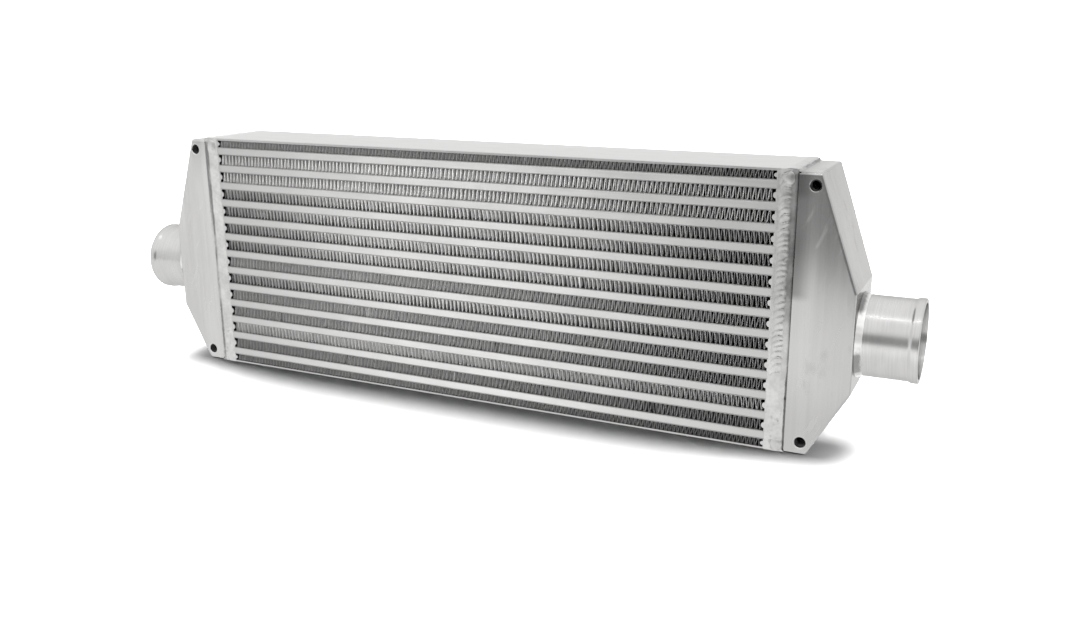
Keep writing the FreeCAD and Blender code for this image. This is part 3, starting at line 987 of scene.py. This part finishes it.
for side, sign in (("left", -1.0), ("right", 1.0)):
    low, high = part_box(side + "_pipe")
    foot = min(abs(low.x), abs(high.x))
    axis_z = (low.z + high.z) / 2
    outer = (high.z - low.z) / 2 - lip_raise
    rings = []
    for step in range(foot_steps):
        angle = 2 * math.pi * step / foot_steps
        wander = 0.4 * rough_at(1.0, 5.0 + sign, 3 * math.cos(angle), 3 * math.sin(angle), 0.0)
        place = (foot_ripples * step / foot_steps + wander) % 1.0
        crest = eased(place, 0.0, 0.5) * (1.0 - eased(place, 0.5, 1.0))
        leg = foot_leg * (0.97 + 0.03 * crest)
        raised = foot_raise * (0.96 + 0.04 * crest)
        section = []
        for point in range(foot_points + 1):
            share = point / foot_points
            hollow = (1.0 - share) ** foot_hollow
            sag = foot_sag * (1.0 - crest) * math.sin(math.pi * share)
            section.append((leg * share, raised * hollow - sag))
        section += [(0.0, -foot_sunk), (-foot_sunk, 0.0), (-foot_sunk, raised)]
        rings.append([(sign * (foot + along), (outer + out) * math.cos(angle),
                       axis_z + (outer + out) * math.sin(angle)) for along, out in section])
    work = bmesh.new()
    loft(work, rings, True)
    foot_weld_metal = foot_metal(side + "_foot_weld", foot, axis_z, outer)
    weld = finished(side + "_welded_foot", work, foot_weld_metal, weld_smooth_below)
    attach(weld, "root")
    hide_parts(side + "_pipe_weld")

# Floor and light
# A plain pale floor under wide soft suns, which throw the shadow forwards, with a spotlight at
# each end that thins it out, a low sun for the fins and a strip light for the streak on the pipes.
# The metal mirrors a glowing card that lies on the floor, and so not the shadow.
floor_half = 6.0
floor_rough = 0.9
floor_pale = 0.74
card_height = 0.0006
card_glow = 2.05
card_by_viewer = 0.25
card_between = 1.0
card_by_core = 0.80
card_after_dull = 0.02
viewer_side_depth = 0.23
viewer_side_blend = 0.11
core_side_from = -0.34
core_side_full = -0.22
sun_energy = 6.6
sun_width = math.radians(21.0)
sun_aim = Vector((-0.65, -0.255, -1.0))
spot_energy = 72.0
spot_width = math.radians(12.6)
spot_softness = 0.7
spot_radius = 0.03
spot_aim = Vector((-0.65, 0.38, -0.75))
spot_place = Vector((1.1, -0.45, 0.75))
fill_energy = 3.8
fill_width = math.radians(6.0)
fill_aim = Vector((-0.57, 0.82, -0.01))
strip_length = 2.4
strip_breadth = 0.03
strip_energy = 2.3
strip_aim = Vector((0.0, 0.45, -1.0))
strip_place = Vector((0.1, -0.55, 1.45))
view_way = Vector((forward.x, forward.y, 0.0)).normalized()


def even(value):
    """A pure grey, for the stage."""
    return (value, value, value, 1.0)


def flat_sheet(name, height, colour):
    """A large level sheet of the stage."""
    work = bmesh.new()
    bmesh.ops.create_grid(work, x_segments=1, y_segments=1, size=floor_half)
    bmesh.ops.translate(work, verts=work.verts, vec=(0.0, 0.0, height))
    mesh = bpy.data.meshes.new(name)
    work.to_mesh(mesh)
    work.free()
    paint = bpy.data.materials.new(name + "_paint")
    paint.use_nodes = True
    shader = paint.node_tree.nodes["Principled BSDF"]
    shader.inputs["Base Color"].default_value = colour
    shader.inputs["Roughness"].default_value = floor_rough
    shader.inputs["Specular IOR Level"].default_value = 0.0
    mesh.materials.append(paint)
    sheet = bpy.data.objects.new(name, mesh)
    bpy.context.scene.collection.objects.link(sheet)
    return sheet, shader, Socket(paint.node_tree).node("ShaderNodeTexCoord", output=3)


def after_dull(socket):
    """1 for light that has left a dull surface on its way, 0 for what is seen or mirrored."""
    bounces = socket.node("ShaderNodeLightPath", output="Diffuse Depth")
    return bounces.maths("MINIMUM", bounces, 1.0)


flat_sheet("floor", 0.0, even(floor_pale))
card, card_shader, card_point = flat_sheet("glowing_card", card_height, even(0.0))
edge_at = camera_place.dot(view_way) + viewer_side_depth
reach = vector_maths("DOT_PRODUCT", card_point, tuple(view_way), 1)
past_edge = between(reach, edge_at - viewer_side_blend, edge_at + viewer_side_blend)
glow = blend(past_edge, even(card_by_viewer), even(card_between))
glow = blend(between(reach, core_side_from, core_side_full), glow, even(card_by_core))
glow = blend(after_dull(glow), glow, even(card_after_dull))
feed(card_shader, "Emission Color", glow)
card_shader.inputs["Emission Strength"].default_value = card_glow
card.active_material.cycles.emission_sampling = "NONE"
card.visible_camera = False
card.visible_diffuse = False
card.visible_shadow = False


def lamp(name, kind, energy, aim, place, mirrored):
    """Hangs a light that shines along a direction and shows in the metal or not; gives its data."""
    light = bpy.data.lights.new(name, kind)
    light.energy = energy
    holder = bpy.data.objects.new(name, light)
    holder.location = place
    holder.rotation_euler = aim.to_track_quat("-Z", "Y").to_euler()
    holder.visible_glossy = mirrored
    bpy.context.scene.collection.objects.link(holder)
    return light


overhead = Vector((0.0, 0.0, 2.0))
for side, sign in (("left", -1.0), ("right", 1.0)):
    mirror = Vector((sign, 1.0, 1.0))
    sun = lamp(side + "_light_from_behind", "SUN", sun_energy, sun_aim * mirror, overhead, False)
    sun.angle = sun_width
    spot = lamp(side + "_end_spotlight", "SPOT", spot_energy, spot_aim * mirror, spot_place * mirror, False)
    spot.spot_size = spot_width
    spot.spot_blend = spot_softness
    spot.shadow_soft_size = spot_radius

fill = lamp("low_fill_light", "SUN", fill_energy, fill_aim, overhead, False)
fill.angle = fill_width
strip = lamp("strip_light", "AREA", strip_energy, strip_aim, strip_place, True)
strip.shape = "RECTANGLE"
strip.size = strip_length
strip.size_y = strip_breadth

# The room round the stage is a little brighter overhead, and dim at the far left and low behind
# the viewer. It shows as plain white, is mirrored in the metal and lights nothing.
wall_low = 1.50
wall_high = 1.80
wall_left = 1.28
wall_by_viewer = 0.45
wall_seen = 1.2
room_strength_lost = 0.97
room = bpy.data.worlds.new("room")
room.use_nodes = True
room_tree = room.node_tree
sky = room_tree.nodes["Background"]
way = Socket(room_tree).node("ShaderNodeTexCoord", output=0)
rise = part_of(way, 2)
wall = blend(between(rise, 0.22, 0.55), even(wall_low), even(wall_high))
wall = blend(between(part_of(way, 0), -0.98, -0.70), even(wall_left), wall)
to_viewer = vector_maths("DOT_PRODUCT", way, tuple(-view_way), 1)
dim_end = between(to_viewer, 0.40, 0.80) * (1.0 - between(rise, 0.24, 0.38))
wall = blend(dim_end, wall, even(wall_by_viewer))
seen_at_once = way.node("ShaderNodeLightPath", output="Is Camera Ray")
feed(sky, "Color", blend(seen_at_once, wall, even(wall_seen)))
feed(sky, "Strength", 1.0 - room_strength_lost * after_dull(way))
bpy.context.scene.world = room
room.cycles_visibility.diffuse = False
bpy.context.scene.view_settings.view_transform = "Standard"
